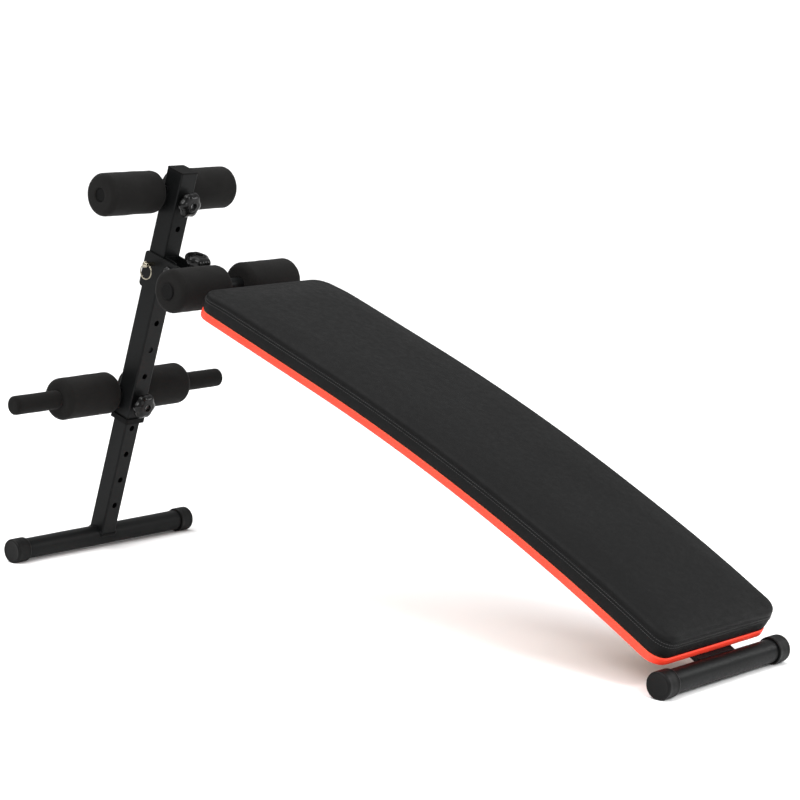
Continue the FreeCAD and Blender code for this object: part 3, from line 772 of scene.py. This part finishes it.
def foot_cap(node, body, sides=288):
    lo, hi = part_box(node)
    side = 1 if lo.y > 0 else -1
    start, end = sorted((abs(lo.y), abs(hi.y)))
    x, z, r, length = (lo.x + hi.x) / 2, hi.z - (hi.x - lo.x) / 2, (hi.x - lo.x) / 2, end - start
    tube = FOOT_TUBE_R + 0.05 * MM
    end = length / MM
    profile = [(tube, 6), (tube, 0.4), (tube + 0.4 * MM, 0), (r - 1.2 * MM, 0), (r - 0.5 * MM, 0.4),
               (r - 0.15 * MM, 1.4), (r, 2.8), (r, 3.2), (r, end / 3), (r, end * 0.6), (r, end - 6.2),
               (r, end - 5.6), (r - 0.05 * MM, end - 3.6), (r - 0.5 * MM, end - 1.9),
               (r - 1.4 * MM, end - 0.7), (r - 2.6 * MM, end - 0.15), (r - 4.0 * MM, end),
               (r - 4.8 * MM, end - 0.25), (r - 5.6 * MM, end - 0.4), (r - 12 * MM, end - 0.4),
               (r - 18 * MM, end - 0.4), (0.4 * MM, end - 0.4)]
    profile = [(rr, t * MM) for rr, t in profile]
    ribbed = range(7, 11)

    def shape(radius, t, a, k):
        if k not in ribbed:
            return radius
        return radius - RIB_DEPTH * (0.5 - 0.5 * math.cos(RIBS * a)) ** 0.8

    rings = lathe_rings(profile, Vector((x, side * start, z)), ACROSS * side, sides, shape)
    rings = [[Vector((p.x, p.y, max(p.z, lo.z))) for p in ring] for ring in rings]
    verts, faces = loft(rings)
    ob = new_object(node + "_ribbed", verts, faces, CAP)
    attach(ob, body)
    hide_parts(node)


for place, body in (("rear", "bench"), ("front", "stand")):
    for word in ("left", "right"):
        foot_cap(f"{place}_foot_cap_{word}", body)


# The pull pin's split ring: two close coils of flat wire

def split_ring():
    lo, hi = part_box("pin_ring")
    centre, r = (lo + hi) / 2, (hi.z - lo.z) / 2 - 1.5 * MM
    turns, count, rings = 1.92, 150, []
    for i in range(count + 1):
        a = math.pi / 2 + 0.3 + 2 * math.pi * turns * i / count
        rise = (i / count - 0.5) * 1.5 * MM
        out = Vector((math.cos(a), 0, math.sin(a)))
        taper = min(1, 8 * min(i, count - i) / count + 0.5)
        middle = centre + out * r + ACROSS * rise
        rings.append([middle + (out * math.cos(q) * 1.05 + ACROSS * math.sin(q) * 0.62 * taper) * MM
                      for q in (2 * math.pi * k / 12 for k in range(12))])
    verts, faces = loft(rings)
    ob = new_object("split_ring", verts, faces, NICKEL)
    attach(ob, "pull_ring")
    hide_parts("pin_ring")


split_ring()


# Weld beads

def middle_of(node):
    lo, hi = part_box(node)
    return (lo + hi) / 2


FRONT_FOOT, REAR_FOOT = middle_of("front_foot_tube"), middle_of("rear_foot_tube")
WEB_OUT = 28 * MM                # the fork's web in front of the pivot, where the stub meets it


def square(half, corner=3 * MM, steps=5):
    """Points round a rounded square."""
    points = []
    for k in range(4):
        cx, cy = ((1, 1), (-1, 1), (-1, -1), (1, -1))[k]
        for i in range(steps + 1):
            a = math.radians(90 * (k + i / steps))
            points.append((cx * (half - corner) + corner * math.cos(a),
                           cy * (half - corner) + corner * math.sin(a)))
    return points


def beads(name, body, paths, radius=1.9 * MM):
    parts = []
    for path, closed in paths:
        points = resample(path, 0.7 * MM, closed)
        parts.append(loft(tube_along(points, radius, 8, closed, 0.14), "join" if closed else "cap"))
    ob = join_parts(name, parts, STEEL)
    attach(ob, body)


post = [mast_point(FRONT_FOOT, x, y, math.sqrt(max(FOOT_TUBE_R ** 2 - x * x, 0)) + 0.3 * MM)
        for x, y in square(POST_HALF)]
beads("stand_weld", "stand", [(post, True)], 2.6 * MM)

stub = []
for u, v in square(POST_HALF):
    p = PIVOT + ACROSS * u + BEAM_UP * v
    stub.append(p + DOWN * ((WEB_OUT - (p - PIVOT).dot(MAST_FRONT)) / DOWN.dot(MAST_FRONT)))
beads("fork_weld", "fork", [(stub, True)], 1.8 * MM)

for place in ("top", "low"):
    axis = Vector(JOINTS[f"{place}_foam_left_turn"]["pos_m"])
    lines = [([mast_point(axis, CROSS_R, y, z) for y in (-19 * MM, 19 * MM)], False)
             for z in (-6.6 * MM, 6.6 * MM)]
    beads(f"{place}_carriage_weld", f"{place}_carriage", lines)


def on_rear_foot(h):
    """How far down the board a point h over its underside meets the rear foot tube."""
    low, high = BOARD_TAIL - 60 * MM, BOARD_TAIL + 10 * MM
    for _ in range(40):
        mid = (low + high) / 2
        flat = board(mid, 0, h) - REAR_FOOT
        low, high = (mid, high) if math.hypot(flat.x, flat.z) > FOOT_TUBE_R else (low, mid)
    return low


rear = [([board(on_rear_foot(h) - back, y, h + lift) for y in (-47 * MM, 47 * MM)], False)
        for h, back, lift in ((0, 0.8 * MM, 0.4 * MM), (-6 * MM, 0.8 * MM, -0.4 * MM))]
thigh = Vector(JOINTS["thigh_foam_left_turn"]["pos_m"])
rear += [([thigh + DOWN * d + ACROSS * y - BEAM_UP * CROSS_R for y in (-17 * MM, 17 * MM)], False)
         for d in (-6.6 * MM, 6.6 * MM)]
knob_seat = Vector(JOINTS["leg_length_knob_turn"]["pos_m"]) - BEAM_UP * (6.4 * MM)
rear.append(([knob_seat + (DOWN * math.cos(a) + ACROSS * math.sin(a)) * (9.6 * MM) + BEAM_UP * (0.5 * MM)
              for a in (2 * math.pi * k / 40 for k in range(40))], True))
beads("bench_weld", "bench", rear, 1.6 * MM)

lug_base = PIVOT - MAST_FRONT * (21 * MM)
lug = [([mast_point(lug_base, 0.6 * MM, y, z) for z in (-17 * MM, 17.5 * MM)], False)
       for y in (-18 * MM, 18 * MM)]
beads("mast_weld", "mast", lug, 1.3 * MM)

# Narrow rounded edges on the CAD's plates; widths in mm
for node, width in (("fork_plate_left", 0.5), ("fork_plate_right", 0.5), ("fork_web", 0.4),
                    ("top_carriage_bracket", 0.5), ("low_carriage_bracket", 0.5), ("mast_top_cap", 0.8),
                    ("mast_bottom_collar", 0.7), ("rear_foot_plate", 0.5), ("front_cross_plate", 0.5),
                    ("middle_cross_plate", 0.5), ("beam_end_plug", 0.6), ("pivot_lock_nut", 0.4)):
    soften(NODES[node], width * MM)


# Floor, light and camera

def plain(name, colour):
    s = Shader(name, Roughness=0.9, Specular_IOR_Level=0.1)
    s.colour(s.mix(s.ramp(s.noise(0.6, 2), 0.3, 0.7, 0, 1), colour, tuple(c * 0.99 for c in colour)))
    return s.mat


FAR = 250
corners = [(-FAR, -FAR, 0), (FAR, -FAR, 0), (FAR, FAR, 0), (-FAR, FAR, 0)]
floor = new_object("floor", corners, [(0, 1, 2, 3)], plain("floor_paint", (0.93, 0.93, 0.93)), False)

# The sky is dim at the sides and bright overhead, with a pale band where it meets the floor
world = bpy.data.worlds.new("studio")
world.use_nodes = True
nodes, links = world.node_tree.nodes, world.node_tree.links
where = nodes.new("ShaderNodeTexCoord")
split = nodes.new("ShaderNodeSeparateXYZ")
height = nodes.new("ShaderNodeMapRange")
links.new(where.outputs["Generated"], split.inputs["Vector"])
links.new(split.outputs["Z"], height.inputs["Value"])
height.inputs["To Min"].default_value, height.inputs["To Max"].default_value = 0.22, 1.0
haze = nodes.new("ShaderNodeMapRange")
links.new(split.outputs["Z"], haze.inputs["Value"])
haze.inputs["From Min"].default_value, haze.inputs["From Max"].default_value = 0.08, 0.13
haze.inputs["To Min"].default_value, haze.inputs["To Max"].default_value = 1.0, 0.0
brighter = nodes.new("ShaderNodeMath")
brighter.operation = "MAXIMUM"
links.new(height.outputs["Result"], brighter.inputs[0])
links.new(haze.outputs["Result"], brighter.inputs[1])
links.new(brighter.outputs["Value"], nodes["Background"].inputs["Strength"])
nodes["Background"].inputs["Color"].default_value = (1, 1, 1, 1)
scene.world = world

sun = bpy.data.lights.new("sky_panel", "SUN")
sun.energy, sun.angle = 2.2, math.radians(70)
sun_at = bpy.data.objects.new("sky_panel", sun)
scene.collection.objects.link(sun_at)
sun_at.rotation_euler = (math.radians(18), math.radians(-12), 0)


def softbox(name, at, aim, size, power):
    light = bpy.data.lights.new(name, "AREA")
    light.shape, light.size, light.size_y, light.energy = "RECTANGLE", size[0], size[1], power
    ob = bpy.data.objects.new(name, light)
    scene.collection.objects.link(ob)
    ob.location = at
    ob.rotation_mode = "QUATERNION"
    ob.rotation_quaternion = (Vector(aim) - Vector(at)).to_track_quat("-Z", "Y")


softbox("key", (0.2, -2.6, 2.9), (0, 0, 0.3), (1.6, 1.0), 40)
softbox("fill", (3.2, -0.9, 2.3), (0.1, 0, 0.3), (1.2, 1.0), 50)
softbox("back", (-3.2, 0.6, 2.6), (-0.4, 0, 0.5), (1.2, 0.8), 14)
softbox("tail", (1.9, -0.55, 0.95), (0.68, 0, 0.1), (0.6, 0.4), 4)
softbox("rim", (1.9, 2.2, 1.4), (0.68, 0, 0.1), (0.9, 1.2), 22)

# The photo's viewpoint, worked out from the bench's own lines
LENS, ROLL = 120.66, math.radians(0.88)
CAMERA_AT = Vector((2.9681, -3.3603, 1.0589))
LOOK = Vector((-0.6492, 0.7447, -0.1545)).normalized()
level = LOOK.cross(Vector((0, 0, 1))).normalized()
above = level.cross(LOOK)
right = level * math.cos(ROLL) + above * math.sin(ROLL)
top = above * math.cos(ROLL) - level * math.sin(ROLL)
camera = bpy.data.cameras.new("camera")
camera.lens, camera.sensor_width, camera.clip_end = LENS, 36, 1000
view = bpy.data.objects.new("camera", camera)
scene.collection.objects.link(view)
view.matrix_world = Matrix.Translation(CAMERA_AT) @ Matrix((right, top, -LOOK)).transposed().to_4x4()
scene.camera = view
scene.view_settings.view_transform = "Standard"
